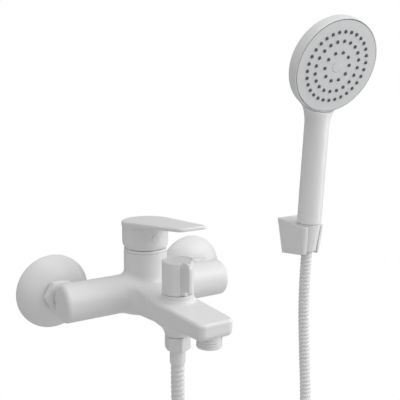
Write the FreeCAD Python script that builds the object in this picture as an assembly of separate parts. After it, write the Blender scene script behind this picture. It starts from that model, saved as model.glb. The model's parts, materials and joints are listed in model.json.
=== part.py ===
import FreeCAD, Part
import math
import os

# Wall mounted bath and shower mixer with its hose, hand shower and wall bracket.
# Frame: millimetres, +Z up, +X to the right of a person facing the wall, the wall is the plane Y = 0
# and the object stands out from it towards -Y. The origin lies in the wall, midway between the inlets.

V = FreeCAD.Vector
RIGHT = V(1, 0, 0)
INTO_WALL = V(0, 1, 0)
OUT = V(0, -1, 0)
UP = V(0, 0, 1)
DOWN = V(0, 0, -1)

# ---- driving dimensions -------------------------------------------------------------------------
inlet_spacing = 150.0        # centre distance of the two supply points
inlet_drop = 1.2             # eccentric offset of the wall ends below the mixer axis
body_offset = 44.5           # mixer bar axis to the wall
arm_radius = 17.5
arm_overhang = 9.0           # arm beyond each inlet
arm_bore = 11.0
arm_end_round = 4.0
tower_wall = 2.7
tower_join = 7.0             # rounding where the tower meets the bar
tower_top = 38.4
spout_reach = 166.0          # wall to the front of the spout
spout_top = 6.0
spout_half_front = 17.0
spout_half_back = 20.0
spout_front_low = -9.0       # underside of the spout at its front
spout_back_low = -18.5       # underside of the spout at the bar
spout_corner = 6.5
outlet_y = 103.5             # hose outlet and diverter axis to the wall
outlet_boss_top_radius = 15.5
outlet_boss_low_radius = 11.0
outlet_boss_low = -24.8
aerator_y = 153.5

thread_half_inch = 10.48     # outside radius of a G1/2 thread
thread_hose = 8.3            # outside radius of the hose outlet thread
thread_play = 0.05
seat_play = 0.3              # play between curved seats of pieces that move apart

rosette_radius = 34.6
rosette_depth = 17.2
rosette_wall = 1.3
union_body_radius = 12.0
union_stub = 15.0            # thread that goes into the wall fitting
union_face = 19.5            # front face of the union, from the wall
nut_flats = 27.0
nut_back = 18.2
nut_front = 27.0

cartridge_floor = 13.5
cartridge_radius = 17.3
pivot_height = 30.0          # lever pin above the bar axis
lever_lift = 20.0            # degrees that the lever lifts
stem_width = 8.0

skirt_radius = 21.3
skirt_low = 41.7
skirt_bore = 18.0
skirt_roof = 57.0
lever_front = 130.0          # wall to the lever's tip
lever_tip_width = 27.0
lever_top_back = 65.6
lever_top_tip = 75.8
lever_low_back = 60.0
lever_low_tip = 72.9
screw_height = 53.0          # set screw and index cap above the bar axis

knob_radius = 13.9
knob_low = 13.6
knob_top = 42.4
rib_reach = 22.0
rib_thickness = 4.2
rib_rise = 4.0              # foot of the rib above the foot of the knob
rib_corner = 5.5            # rounding of the rib's upper corner
base_ring_radius = 14.0
base_ring_top = 13.2
chamber_radius = 9.0
chamber_floor = -4.0

aerator_radius = 10.6
aerator_low = -18.4
aerator_seat = -8.2

hose_radius = 6.15
hose_nut_flats = 20.2
hose_nut_top = -25.3
hose_nut_low = -37.8
ferrule_wall = 0.85
ferrule_low = -52.0

bracket_x = 207.4            # bracket's middle plane
bracket_half_top = 15.0
bracket_half_low = 12.4
seat_y = 36.4                # foot of the handle, from the wall
seat_z = 39.7
lean = 3.5                   # degrees that the handle leans out from the wall
turn = -3.8                  # degrees that the hand shower is turned about its handle
cone_top_radius = 13.0
cone_low_radius = 9.8
cone_length = 31.0
slot_half = 7.3
screw_heights = (9.0, 25.0)
screw_hole = 2.1

handle_radius = 13.2
handle_length = 132.0
handle_bore = 8.5
head_radius = 51.0
head_lip = 3.0               # rim of the head around the spray face
face_tilt = 16.8             # degrees that the spray face looks down from the handle's normal
face_forward = 25.3          # face centre in front of the handle axis
face_height = 169.5          # face centre above the foot of the handle
nozzle_rings = ((36.2, 30, 92.2), (26.5, 20, 89.1), (15.1, 10, 79.2))   # radius, count, first angle
nozzle_radius = 1.5

coil_x = 130.0
coil_z = -235.0
coil_radius = 67.5           # middle of the turns
coil_front_y = -86.0         # first strand
coil_back_y = -52.25         # last strand

arm_half_length = inlet_spacing / 2 + arm_overhang
tower_radius = cartridge_radius + tower_wall
ferrule_radius = hose_radius + ferrule_wall
face_radius = head_radius - head_lip

os.makedirs("parts", exist_ok=True)


# ---- small builders -----------------------------------------------------------------------------
def rod(radius, length, base, axis=UP):
    return Part.makeCylinder(radius, length, base, axis)


def tube(outer, inner, length, base, axis=UP):
    return rod(outer, length, base, axis).cut(rod(inner, length, base, axis))


def taper(radius_1, radius_2, length, base, axis=UP):
    return Part.makeCone(radius_1, radius_2, length, base, axis)


def block(x0, x1, y0, y1, z0, z1):
    return Part.makeBox(x1 - x0, y1 - y0, z1 - z0, V(x0, y0, z0))


def prism(points, push):
    """A closed outline of vectors pushed along a vector."""
    return Part.Face(Part.makePolygon(points + [points[0]])).extrude(push)


def swing(axis):
    """The rotation that takes +Z to the given axis."""
    return FreeCAD.Rotation(UP, axis)


def seated(shape, base, axis=UP):
    """A shape drawn about +Z at the origin, moved to a base point and axis."""
    moved = shape.copy()
    moved.Placement = FreeCAD.Placement(base, swing(axis))
    return moved


def turned(profile, base=V(0, 0, 0), axis=UP):
    """A solid of revolution from (radius, height) points."""
    points = [V(radius, 0, height) for radius, height in profile]
    face = Part.Face(Part.makePolygon(points + [points[0]]))
    return seated(face.revolve(V(0, 0, 0), UP, 360), base, axis)


def hexagon(flats, length, base, axis, angle=0.0):
    """A hexagonal nut blank with its corners turned off at both ends."""
    corner = flats / math.sqrt(3)
    points = []
    for step in range(6):
        at = math.radians(angle + 60 * step)
        points.append(V(corner * math.cos(at), corner * math.sin(at), 0))
    blank = prism(points, V(0, 0, length))
    trim = 0.09 * flats
    half = flats / 2 + 0.1
    turned_off = turned([(0, 0), (half, 0), (half + trim, 0.55 * trim),
                         (half + trim, length - 0.55 * trim), (half, length), (0, length)])
    return seated(blank.common(turned_off), base, axis)


def joined(first, *others):
    shape = first
    for other in others:
        shape = shape.fuse(other)
    return shape.removeSplitter()


def less(shape, *cutters):
    for cutter in cutters:
        shape = shape.cut(cutter)
    return shape


def save(name, *solids):
    shape = solids[0] if len(solids) == 1 else Part.makeCompound(list(solids))
    shape.exportStep("parts/" + name + ".step")
    print(name, len(shape.Solids), "solid(s)", round(shape.Volume / 1000, 2), "cm3", shape.isValid())


# ---- inlets: eccentric unions, rosettes, union nuts and tails ------------------------------------
water_way = 6.4
tail_radius = 8.5
tail_collar = 10.2
washer_thickness = 2.4
collar_thickness = 2.4
arm_back = -(body_offset - arm_radius)


def build_inlet(side, x):
    wall_axis = V(x, 0, -inlet_drop)
    front_axis = V(x, 0, 0)
    step = 10.0                                   # where the eccentric body changes axis
    stub = rod(thread_half_inch, union_stub, wall_axis, INTO_WALL)
    middle = rod(union_body_radius, step, wall_axis, OUT)
    front = rod(thread_half_inch, union_face - step + 2, front_axis + OUT * (step - 2), OUT)
    union = joined(stub, middle, front)
    union = less(union,
                 rod(water_way, union_stub + step - 2, wall_axis + INTO_WALL * union_stub, OUT),
                 rod(water_way, union_face - step + 4, front_axis + OUT * (step - 4), OUT))
    save("eccentric_union_" + side, union)

    hole = union_body_radius + 0.25
    outer = [V(hole, 0, rosette_depth), V(14.5, 0, rosette_depth)]
    shoulder = Part.Arc(outer[1], V(27.5, 0, 11.4), V(rosette_radius, 0, 2.0)).toShape()
    inner = Part.Arc(V(rosette_radius - rosette_wall, 0, 1.6), V(26.4, 0, 10.2),
                     V(14.2, 0, rosette_depth - rosette_wall)).toShape()
    edges = [Part.makeLine(outer[0], outer[1]), shoulder,
             Part.makeLine(V(rosette_radius, 0, 2.0), V(rosette_radius, 0, 0)),
             Part.makeLine(V(rosette_radius, 0, 0), V(rosette_radius - rosette_wall, 0, 0)),
             Part.makeLine(V(rosette_radius - rosette_wall, 0, 0), V(rosette_radius - rosette_wall, 0, 1.6)),
             inner,
             Part.makeLine(V(14.2, 0, rosette_depth - rosette_wall),
                           V(hole, 0, rosette_depth - rosette_wall)),
             Part.makeLine(V(hole, 0, rosette_depth - rosette_wall), outer[0])]
    dome = Part.Face(Part.Wire(edges)).revolve(V(0, 0, 0), UP, 360)
    save("wall_rosette_" + side, seated(dome, wall_axis, OUT))

    washer_at = front_axis + OUT * union_face
    collar_at = front_axis + OUT * (union_face + washer_thickness)
    shoulder_at = union_face + washer_thickness + collar_thickness
    save("inlet_washer_" + side, tube(tail_collar, water_way, washer_thickness, washer_at, OUT))
    tail_end = 6.0 - arm_back
    tail = joined(rod(tail_collar, collar_thickness, collar_at, OUT),
                  rod(tail_radius, tail_end - shoulder_at, front_axis + OUT * shoulder_at, OUT))
    save("inlet_tail_" + side, less(tail, rod(water_way, tail_end, front_axis, OUT)))
    blank = hexagon(nut_flats, nut_front - nut_back, front_axis + OUT * nut_back, OUT)
    nut = less(blank,
               rod(thread_half_inch + thread_play, shoulder_at - nut_back, front_axis + OUT * nut_back, OUT),
               rod(tail_radius + thread_play, nut_front, front_axis, OUT))
    save("union_nut_" + side, nut)


# ---- mixer body -----------------------------------------------------------------------------------
def spout_low(y):
    """Height of the spout's underside at a distance y from the wall."""
    share = (y - body_offset) / (spout_reach - body_offset)
    return spout_back_low + (spout_front_low - spout_back_low) * share


def build_spout():
    start = -body_offset
    end = -spout_reach
    side = prism([V(-40, start, spout_top + 5), V(-40, start - 22, spout_top + 3.5),
                  V(-40, start - 44, spout_top), V(-40, end, spout_top - 0.4),
                  V(-40, end, spout_front_low), V(-40, start, spout_back_low)], V(80, 0, 0))
    half_1 = spout_half_back
    half_2 = spout_half_front
    plan = prism([V(-half_1, start, -40), V(half_1, start, -40), V(half_2, end, -40),
                  V(-half_2, end, -40)], V(0, 0, 80))
    spout = side.common(plan)
    corners = []
    for edge in spout.Edges:
        box = edge.BoundBox
        if box.YMax < end + 0.1 and box.ZLength > 5:
            corners.append(edge)
    spout = spout.makeFillet(spout_corner, corners)
    low_edges = []
    for edge in spout.Edges:
        box = edge.BoundBox
        middle = edge.CenterOfMass
        if box.ZLength > 5 and box.YLength < 8:
            continue
        if middle.y > start - 0.5:
            continue
        if box.XLength > 2 * spout_corner + 1 and middle.y > end + 1:
            continue
        if middle.z < spout_low(-middle.y) + 1.0:
            low_edges.append(edge)
    return spout.makeFillet(3.5, low_edges)


def build_body():
    arm = rod(arm_radius, 2 * arm_half_length, V(-arm_half_length, -body_offset, 0), RIGHT)
    rims = [edge for edge in arm.Edges if edge.Closed]
    arm = arm.makeFillet(arm_end_round, rims)
    tower = rod(tower_radius, tower_top, V(0, -body_offset, 0))
    boss = taper(outlet_boss_low_radius, outlet_boss_top_radius, 14.0, V(0, -outlet_y, outlet_boss_low))
    body = joined(arm, tower, build_spout(), boss)
    joins = [edge for edge in body.Edges
             if edge.Curve.TypeId == "Part::GeomBSplineCurve" and edge.CenterOfMass.z > 5]
    body = body.makeFillet(tower_join, joins)

    cutters = [rod(cartridge_radius + 0.1, tower_top, V(0, -body_offset, cartridge_floor))]
    arm_gap = 7.0                                 # half of the wall between hot and cold
    bore_end = arm_half_length - 6.0
    for side in (-1, 1):
        start = V(side * arm_gap, -body_offset, 0)
        cutters.append(rod(arm_bore, bore_end - arm_gap, start, RIGHT * side))
        cutters.append(rod(3.0, 6.0, V(side * 10.5, -body_offset, cartridge_floor - 5)))
        inlet = V(side * inlet_spacing / 2, -body_offset, 0)
        cutters.append(rod(tail_radius + thread_play, body_offset, inlet, INTO_WALL))
    mixed = V(0, -body_offset - 8.5, 1.5)
    cutters.append(rod(3.3, cartridge_floor, mixed))
    cutters.append(rod(3.3, outlet_y - chamber_radius - body_offset - 6, mixed, OUT))
    cutters.append(rod(chamber_radius, 30.0, V(0, -outlet_y, chamber_floor)))
    spout_port = V(0, -outlet_y - 4.5, chamber_floor - 2.6)
    cutters.append(rod(2.0, 5.0, spout_port))
    to_aerator = V(0, -aerator_y, 1.0) - spout_port
    cutters.append(rod(2.5, to_aerator.Length, spout_port, to_aerator))
    cutters.append(rod(2.4, 14.0, V(4.5, -outlet_y, chamber_floor - 12)))
    cutters.append(rod(6.2, 10.0, V(0, -outlet_y, outlet_boss_low)))
    cutters.append(rod(thread_hose + thread_play, 7.0, V(0, -outlet_y, outlet_boss_low)))
    cutters.append(rod(aerator_radius + 0.1, 30.0, V(0, -aerator_y, aerator_seat), DOWN))
    cutters.append(rod(9.6, 7.2, V(0, -aerator_y, aerator_seat)))
    cutters.append(rod(6.0, 11.6, V(0, -aerator_y, aerator_seat)))
    save("mixer_body", less(body, *cutters))


# ---- cartridge --------------------------------------------------------------------------------------
base_top = 17.0
fixed_top = 20.0
moving_top = 23.0
carrier_top = 26.0
turret_low = 26.2
housing_top = 34.5
housing_roof = 32.5
housing_bore = 15.6
neck_radius = 9.4
tip_height = 25.1
tip_radius = 2.0
port_places = ((-10.5, 0.0), (10.5, 0.0), (0.0, -8.5))


def at_tower(x, y, z):
    return V(x, -body_offset + y, z)


def build_cartridge():
    base = rod(cartridge_radius, base_top - cartridge_floor - 0.2, at_tower(0, 0, cartridge_floor + 0.2))
    seals = []
    disc = rod(14.6, fixed_top - base_top, at_tower(0, 0, base_top))
    for x, y in port_places:
        low = at_tower(x, y, cartridge_floor)
        base = less(base, rod(2.6, 10, low), rod(4.1, 1.4, low))
        disc = less(disc, rod(2.6, 10, low))
        seals.append(tube(4.0, 3.0, 1.4, low))
    save("cartridge_base", base)
    save("cartridge_seals", *seals)
    save("ceramic_disc_fixed", disc)
    moving = rod(11.4, moving_top - fixed_top, at_tower(0, 0, fixed_top))
    save("ceramic_disc_moving", less(moving, block(-8, 8, -body_offset - 6, -body_offset + 6,
                                                   fixed_top, fixed_top + 1.4)))
    slot = tip_radius + 0.06
    carrier = rod(11.4, carrier_top - moving_top, at_tower(0, 0, moving_top))
    save("disc_carrier", less(carrier, block(-2.7, 2.7, -body_offset - slot, -body_offset + slot,
                                             moving_top + 0.05, carrier_top)))
    housing = less(rod(cartridge_radius, housing_top - base_top, at_tower(0, 0, base_top)),
                   rod(housing_bore, housing_roof - base_top, at_tower(0, 0, base_top)),
                   rod(neck_radius + 0.06, 20, at_tower(0, 0, housing_roof - 1)))
    save("cartridge_housing", housing)

    half = stem_width / 2
    turret = joined(rod(housing_bore - 0.06, housing_roof - turret_low - 0.1, at_tower(0, 0, turret_low)),
                    rod(neck_radius, 36.5 - turret_low, at_tower(0, 0, turret_low)))
    turret = less(turret, block(-half - thread_play, half + thread_play,
                                -body_offset - 7.6, -body_offset + 7.6, turret_low, 40),
                  rod(1.5, 24, at_tower(-12, 0, pivot_height), RIGHT))
    save("spindle_carrier", turret)
    save("spindle_pin", rod(1.5, 22, at_tower(-11, 0, pivot_height), RIGHT))
    stem = joined(block(-half, half, -body_offset - half, -body_offset + half, 27.9, skirt_roof - 0.6),
                  block(-2.4, 2.4, -body_offset - 1.3, -body_offset + 1.3, tip_height, 28.5),
                  rod(tip_radius, 4.8, at_tower(-2.4, 0, tip_height), RIGHT))
    save("lever_spindle", less(stem, rod(1.5 + thread_play, 24, at_tower(-12, 0, pivot_height), RIGHT)))
    save("cartridge_nut", tube(cartridge_radius + 0.05, 11.5, tower_top - housing_top - 0.3,
                               at_tower(0, 0, housing_top)))
    ring = less(rod(tower_radius - 0.2, 2.8, at_tower(0, 0, tower_top)),
                rod(17.6, 1.4, at_tower(0, 0, tower_top)),
                rod(12.0, 5, at_tower(0, 0, tower_top)))
    save("trim_ring", ring)


# ---- lever handle -----------------------------------------------------------------------------------
def build_lever():
    skirt = turned([(0, skirt_low), (19.7, skirt_low), (20.6, skirt_low + 1.6), (21.1, skirt_low + 3.6),
                    (skirt_radius, skirt_low + 6.0), (skirt_radius, lever_top_back - 0.6),
                    (0, lever_top_back - 0.6)], at_tower(0, 0, 0))
    back = -body_offset + skirt_radius + 0.4
    tip = -lever_front
    side = prism([V(-40, back, lever_low_back), V(-40, back, lever_top_back),
                  V(-40, tip, lever_top_tip), V(-40, tip, lever_low_tip)], V(80, 0, 0))
    plan_radius = skirt_radius + 0.4
    half = lever_tip_width / 2
    reach = lever_front - body_offset
    angle = math.asin((plan_radius - half) / reach)
    left = V(-plan_radius * math.cos(angle), -body_offset - plan_radius * math.sin(angle), 0)
    right = V(-left.x, left.y, 0)
    bow = Part.Arc(left, V(0, -body_offset + plan_radius, 0), right).toShape()
    round_tip = 5.0
    edges = [bow, Part.makeLine(right, V(half, tip + round_tip, 0)),
             Part.Arc(V(half, tip + round_tip, 0),
                      V(half - 0.3 * round_tip, tip + 0.3 * round_tip, 0),
                      V(half - round_tip, tip, 0)).toShape(),
             Part.makeLine(V(half - round_tip, tip, 0), V(round_tip - half, tip, 0)),
             Part.Arc(V(round_tip - half, tip, 0),
                      V(0.3 * round_tip - half, tip + 0.3 * round_tip, 0),
                      V(-half, tip + round_tip, 0)).toShape(),
             Part.makeLine(V(-half, tip + round_tip, 0), left)]
    plan = Part.Face(Part.Wire(edges)).extrude(V(0, 0, 120))
    lever = joined(skirt, side.common(plan))
    lever = less(lever, rod(skirt_bore, skirt_roof - skirt_low, at_tower(0, 0, skirt_low)))
    boss = rod(7.6, skirt_roof + 1 - 48, at_tower(0, 0, 48))
    lever = joined(lever, boss)
    half = stem_width / 2 + thread_play
    lift = lever_lift + 1.0
    clear_height = tower_top + 3.4 - pivot_height
    relief = block(-40, 40, -80, 80, -60, clear_height)
    relief.rotate(V(0, 0, 0), RIGHT, lift)
    relief.translate(at_tower(0, 0, pivot_height))
    lever = less(lever, block(-half, half, -body_offset - half, -body_offset + half, 47, skirt_roof - 0.5),
                 rod(2.5, 20, at_tower(0, 0, screw_height), OUT),
                 rod(4.35, 8, at_tower(0, -skirt_bore - 0.7, screw_height), OUT),
                 relief)
    save("handle_lever", lever)
    save("handle_set_screw", less(rod(2.45, 4.6, at_tower(0, -stem_width / 2, screw_height), OUT),
                                  hexagon(2.5, 3, at_tower(0, -stem_width / 2 - 2.5, screw_height), OUT)))
    cap = turned([(0, 0), (4.25, 0), (4.25, 2.5), (3.4, 3.1), (1.8, 3.4), (0, 3.5)],
                 at_tower(0, -skirt_bore - 0.75, screw_height), OUT)
    save("handle_index_cap", cap)


# ---- diverter -----------------------------------------------------------------------------------------
def at_outlet(x, y, z):
    return V(x, -outlet_y + y, z)


def build_diverter():
    spindle = 3.6
    fixed = rod(chamber_radius - 0.1, 1.8, at_outlet(0, 0, chamber_floor))
    save("diverter_disc_fixed", less(fixed, rod(2.0, 4, at_outlet(0, -4.5, chamber_floor)),
                                     rod(2.0, 4, at_outlet(4.5, 0, chamber_floor))))
    disc_low = chamber_floor + 1.8
    moving = rod(6.8, 2.0, at_outlet(0, 0, disc_low))
    save("diverter_disc_moving", less(moving, rod(2.1, 4, at_outlet(0, -4.5, disc_low)),
                                      block(-1.6, 1.6, -outlet_y - 2.6, -outlet_y + 2.6, disc_low + 1.0, 5)))
    flange_low = disc_low + 2.0
    shaft = joined(rod(6.8, 1.6, at_outlet(0, 0, flange_low)),
                   rod(spindle, knob_low + 2 - flange_low, at_outlet(0, 0, flange_low)),
                   block(-1.5, 1.5, -outlet_y - 2.5, -outlet_y + 2.5, flange_low - 0.9, flange_low + 0.2),
                   block(-2.5, 2.5, -outlet_y - 2.5, -outlet_y + 2.5, knob_low, 30.5))
    shaft = less(shaft, rod(2.1, 1.6, at_outlet(0, -4.5, flange_low)))
    save("diverter_spindle", shaft)
    bonnet = less(rod(chamber_radius - 0.1, base_ring_top - disc_low - 0.1, at_outlet(0, 0, disc_low)),
                  rod(6.9, flange_low + 2.6 - disc_low, at_outlet(0, 0, disc_low)),
                  rod(spindle + thread_play, 30, at_outlet(0, 0, 0)),
                  rod(2.4, 6, at_outlet(0, 5, 0.9), INTO_WALL))
    save("diverter_bonnet", bonnet)
    save("diverter_base_ring", tube(base_ring_radius, chamber_radius, base_ring_top - spout_top,
                                    at_outlet(0, 0, spout_top)))
    cap = turned([(0, knob_low), (knob_radius - 0.5, knob_low), (knob_radius, knob_low + 0.6),
                  (knob_radius, knob_top - 1.0), (knob_radius - 1.0, knob_top), (0, knob_top)],
                 at_outlet(0, 0, 0))
    half = rib_thickness / 2
    rib_front = -outlet_y - rib_reach
    rib = block(-half, half, rib_front, -outlet_y - 3, knob_low + rib_rise, knob_top + 0.3)
    rib = rib.makeFillet(rib_corner, [edge for edge in rib.Edges if edge.CenterOfMass.z > knob_top
                                      and edge.CenterOfMass.y < rib_front + 0.1])
    rib = rib.makeFillet(1.5, [edge for edge in rib.Edges
                               if edge.CenterOfMass.y < rib_front + 3 and edge.BoundBox.XLength < 0.1])
    knob = joined(cap, rib)
    knob = less(knob, rod(11.6, 1.6, at_outlet(0, 0, knob_low)),
                rod(spindle + thread_play, 2.2, at_outlet(0, 0, knob_low)),
                block(-2.55, 2.55, -outlet_y - 2.55, -outlet_y + 2.55, knob_low, 31),
                rod(1.65, 20, at_outlet(0, 2.0, 22), INTO_WALL))
    save("diverter_knob", knob)
    save("diverter_grub_screw", rod(1.6, 8.0, at_outlet(0, 2.5, 22), INTO_WALL))


# ---- aerator --------------------------------------------------------------------------------------------
def at_aerator(x, y, z):
    return V(x, -aerator_y + y, z)


def build_aerator():
    thread = 9.55
    shell = joined(rod(aerator_radius, aerator_seat - aerator_low, at_aerator(0, 0, aerator_low)),
                   rod(thread, 5.2, at_aerator(0, 0, aerator_seat)))
    shell = less(shell, rod(8.4, 40, at_aerator(0, 0, aerator_low + 1.2)),
                 rod(7.6, 5, at_aerator(0, 0, aerator_low - 1)))
    for groove in range(3):
        height = aerator_low + 2.2 + 2.4 * groove
        shell = less(shell, tube(aerator_radius + 1, aerator_radius - 0.6, 0.9, at_aerator(0, 0, height)))
    save("aerator_ring", shell)
    insert = rod(8.35, 8.0, at_aerator(0, 0, aerator_low + 1.25))
    pitch = 2.9
    for ring in range(3):
        for step in range(max(1, 6 * ring)):
            at = 2 * math.pi * step / max(1, 6 * ring)
            hole = at_aerator(ring * pitch * math.cos(at), ring * pitch * math.sin(at), aerator_low)
            insert = less(insert, rod(1.0, 12, hole))
    save("aerator_insert", insert)
    save("aerator_washer", tube(9.4, 6.6, 1.9, at_aerator(0, 0, aerator_seat + 5.25)))


# ---- hose outlet, nut and lower ferrule -------------------------------------------------------------------
def build_outlet():
    nipple_low = -33.0
    nipple_top = outlet_boss_low + 7.0
    save("hose_outlet_nipple", tube(thread_hose, 5.2, nipple_top - nipple_low, at_outlet(0, 0, nipple_low)))
    flange_top = nipple_low - 2.0
    flange_low = flange_top - 1.5
    save("hose_nut_washer", tube(thread_hose - 0.2, 4.5, 2.0, at_outlet(0, 0, flange_top)))
    nut = hexagon(hose_nut_flats, hose_nut_top - hose_nut_low, at_outlet(0, 0, hose_nut_low), UP, 17.0)
    neck = 6.0
    nut = less(nut, rod(thread_hose + thread_play, hose_nut_top - flange_low, at_outlet(0, 0, flange_low)),
               rod(neck + 0.1, 20, at_outlet(0, 0, hose_nut_low)))
    save("hose_nut", nut)
    ferrule = turned([(4.0, flange_top), (thread_hose - 0.1, flange_top), (thread_hose - 0.1, flange_low),
                      (neck, flange_low), (neck, hose_nut_low - 0.8), (ferrule_radius, hose_nut_low - 1.2),
                      (ferrule_radius, ferrule_low + 2.0), (ferrule_radius - 0.6, ferrule_low),
                      (4.0, ferrule_low)], at_outlet(0, 0, 0))
    save("hose_ferrule_lower", ferrule)


# ---- hand shower, drawn about its own handle --------------------------------------------------------
# Handle frame: origin at the foot of the handle, +Z up the handle, -Y to the front.
# Head frame: origin at the middle of the spray face, +Z out of the face.
foot = V(bracket_x, -seat_y, seat_z)
handle_turn = FreeCAD.Rotation(RIGHT, lean).multiply(FreeCAD.Rotation(UP, turn))
handle_frame = FreeCAD.Placement(foot, handle_turn)
head_frame = FreeCAD.Placement(V(0, -face_forward, face_height), FreeCAD.Rotation(RIGHT, 90 + face_tilt))
handle_axis = handle_turn.multVec(UP)


def in_hand(shape):
    moved = shape.copy()
    moved.Placement = handle_frame.multiply(moved.Placement)
    return moved


def on_head(shape):
    moved = shape.copy()
    moved.Placement = head_frame.multiply(moved.Placement)
    return moved


mat_top = -2.6
mat_low = -4.2
plate_low = -6.4
insert_radius = thread_half_inch
insert_low = -11.0
insert_top = 12.0


def nozzle_places():
    places = []
    for radius, count, first in nozzle_rings:
        for step in range(count):
            at = math.radians(first) + 2 * math.pi * step / count
            places.append((radius * math.cos(at), radius * math.sin(at)))
    return places


def build_shower():
    wall = 2.6
    head = turned([(0, -24.0), (24, -22.0), (38, -18.0), (47, -13.0), (head_radius, -8.5),
                   (head_radius, -2.2), (head_radius - 0.9, -0.7), (head_radius - 2.4, -0.2),
                   (face_radius + 0.2, -0.2), (face_radius + 0.2, plate_low - 0.2), (0, plate_low - 0.2)])
    handle = joined(rod(handle_radius, handle_length, V(0, 0, 0.2)),
                    Part.makeSphere(handle_radius, V(0, 0, handle_length + 0.2)))
    pocket = on_head(rod(face_radius + 0.2, 60, V(0, 0, plate_low - 0.2)))
    front = on_head(rod(head_radius, 60, V(0, 0, -0.2)))
    shell = joined(on_head(head), less(handle, pocket, front))
    room = turned([(0, -24.0 + wall), (23, -22.0 + wall), (36.5, -18.0 + wall), (44, -13.6 + wall),
                   (44, plate_low), (0, plate_low)])
    boss = rod(4.6, 23.5 + plate_low, V(0, 0, -23.5))
    shell = less(shell, on_head(room), rod(handle_bore, handle_length + 4, V(0, 0, 0)))
    shell = joined(shell, on_head(boss))
    shell = less(shell, on_head(rod(1.55, 10, V(0, 0, plate_low), DOWN)),
                 rod(insert_radius, insert_top, V(0, 0, 0)))
    save("shower_shell", in_hand(shell))
    save("shower_inlet_insert",
         in_hand(tube(insert_radius, 6.0, insert_top - insert_low, V(0, 0, insert_low))))

    places = nozzle_places()
    face = rod(face_radius, -mat_top, V(0, 0, mat_top))
    mat = rod(42.0, mat_top - mat_low, V(0, 0, mat_low))
    holes = [rod(nozzle_radius + 0.1, 8, V(x, y, -4)) for x, y in places]
    nubs = [taper(nozzle_radius, nozzle_radius - 0.35, 1.5 - mat_top, V(x, y, mat_top - 0.5))
            for x, y in places]
    face = face.cut(holes)
    face = less(face, rod(6.1, 2, V(0, 0, -1.2)), rod(3.5, 2, V(0, 0, -2.0)), rod(1.9, 8, V(0, 0, -4)))
    mat = mat.fuse(nubs).cut(rod(5.0, 8, V(0, 0, -6)))
    save("spray_face", in_hand(on_head(face)))
    save("nozzle_mat", in_hand(on_head(mat)))
    plate = less(rod(47.6, mat_low - plate_low, V(0, 0, plate_low)), rod(1.9, 8, V(0, 0, -9)))
    feed_radius = 31.0
    feeds = []
    for step in range(8):
        at = math.pi * step / 4
        feeds.append(rod(3.0, 8, V(feed_radius * math.cos(at), feed_radius * math.sin(at), -9)))
    save("water_plate", in_hand(on_head(less(plate, *feeds))))
    save("face_seal", in_hand(on_head(tube(face_radius - 0.2, 43.0, mat_top - mat_low, V(0, 0, mat_low)))))
    screw = joined(rod(3.4, 0.75, V(0, 0, -2.0)), rod(1.5, 12, V(0, 0, -1.9), DOWN))
    screw = less(screw, hexagon(2.5, 1.0, V(0, 0, -1.75), UP))
    face_cap = turned([(0, -1.15), (6.0, -1.15), (6.0, 0.2), (5.2, 0.5), (0, 0.6)])
    save("face_screw", in_hand(on_head(screw)))
    save("face_centre_cap", in_hand(on_head(face_cap)))

    nut_low = -cone_length
    flange_top = insert_low - 2.0
    flange_low = flange_top - 1.5
    save("cone_washer", in_hand(tube(9.6, 5.0, 2.0, V(0, 0, flange_top))))
    cone = taper(cone_low_radius, cone_top_radius, cone_length - 0.1, V(0, 0, nut_low))
    cone = less(cone, rod(thread_half_inch + thread_play, 30, V(0, 0, flange_low)),
                rod(ferrule_radius - 0.1, 60, V(0, 0, nut_low - 1)))
    save("cone_nut", in_hand(cone))
    ferrule = turned([(4.0, flange_top), (9.6, flange_top), (9.6, flange_low),
                      (ferrule_radius - 0.2, flange_low), (ferrule_radius - 0.2, nut_low), (4.0, nut_low)])
    save("hose_ferrule_upper", in_hand(ferrule))


# ---- bracket ----------------------------------------------------------------------------------------
back_top = V(0, 0, 40.4)
back_low = V(0, -6.6, 0.5)
front_low = V(0, -42.2, 5.2)
front_top = V(0, -46.0, 37.0)
plate_low_z = 3.0
plate_top_z = 31.0


def back_y(z):
    """Depth of the bracket's sloped back at a height."""
    return back_top.y + (back_low.y - back_top.y) * (back_top.z - z) / (back_top.z - back_low.z)


def dovetail(z0, z1, play):
    narrow = 3.5 + play
    wide = 5.0 + play
    y0 = back_y(z0)
    outline = [V(bracket_x - narrow, y0 + 0.6, z0), V(bracket_x + narrow, y0 + 0.6, z0),
               V(bracket_x + wide, y0 - 3.0 - play, z0), V(bracket_x - wide, y0 - 3.0 - play, z0)]
    return prism(outline, V(0, back_y(z1) - y0, z1 - z0))


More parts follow.
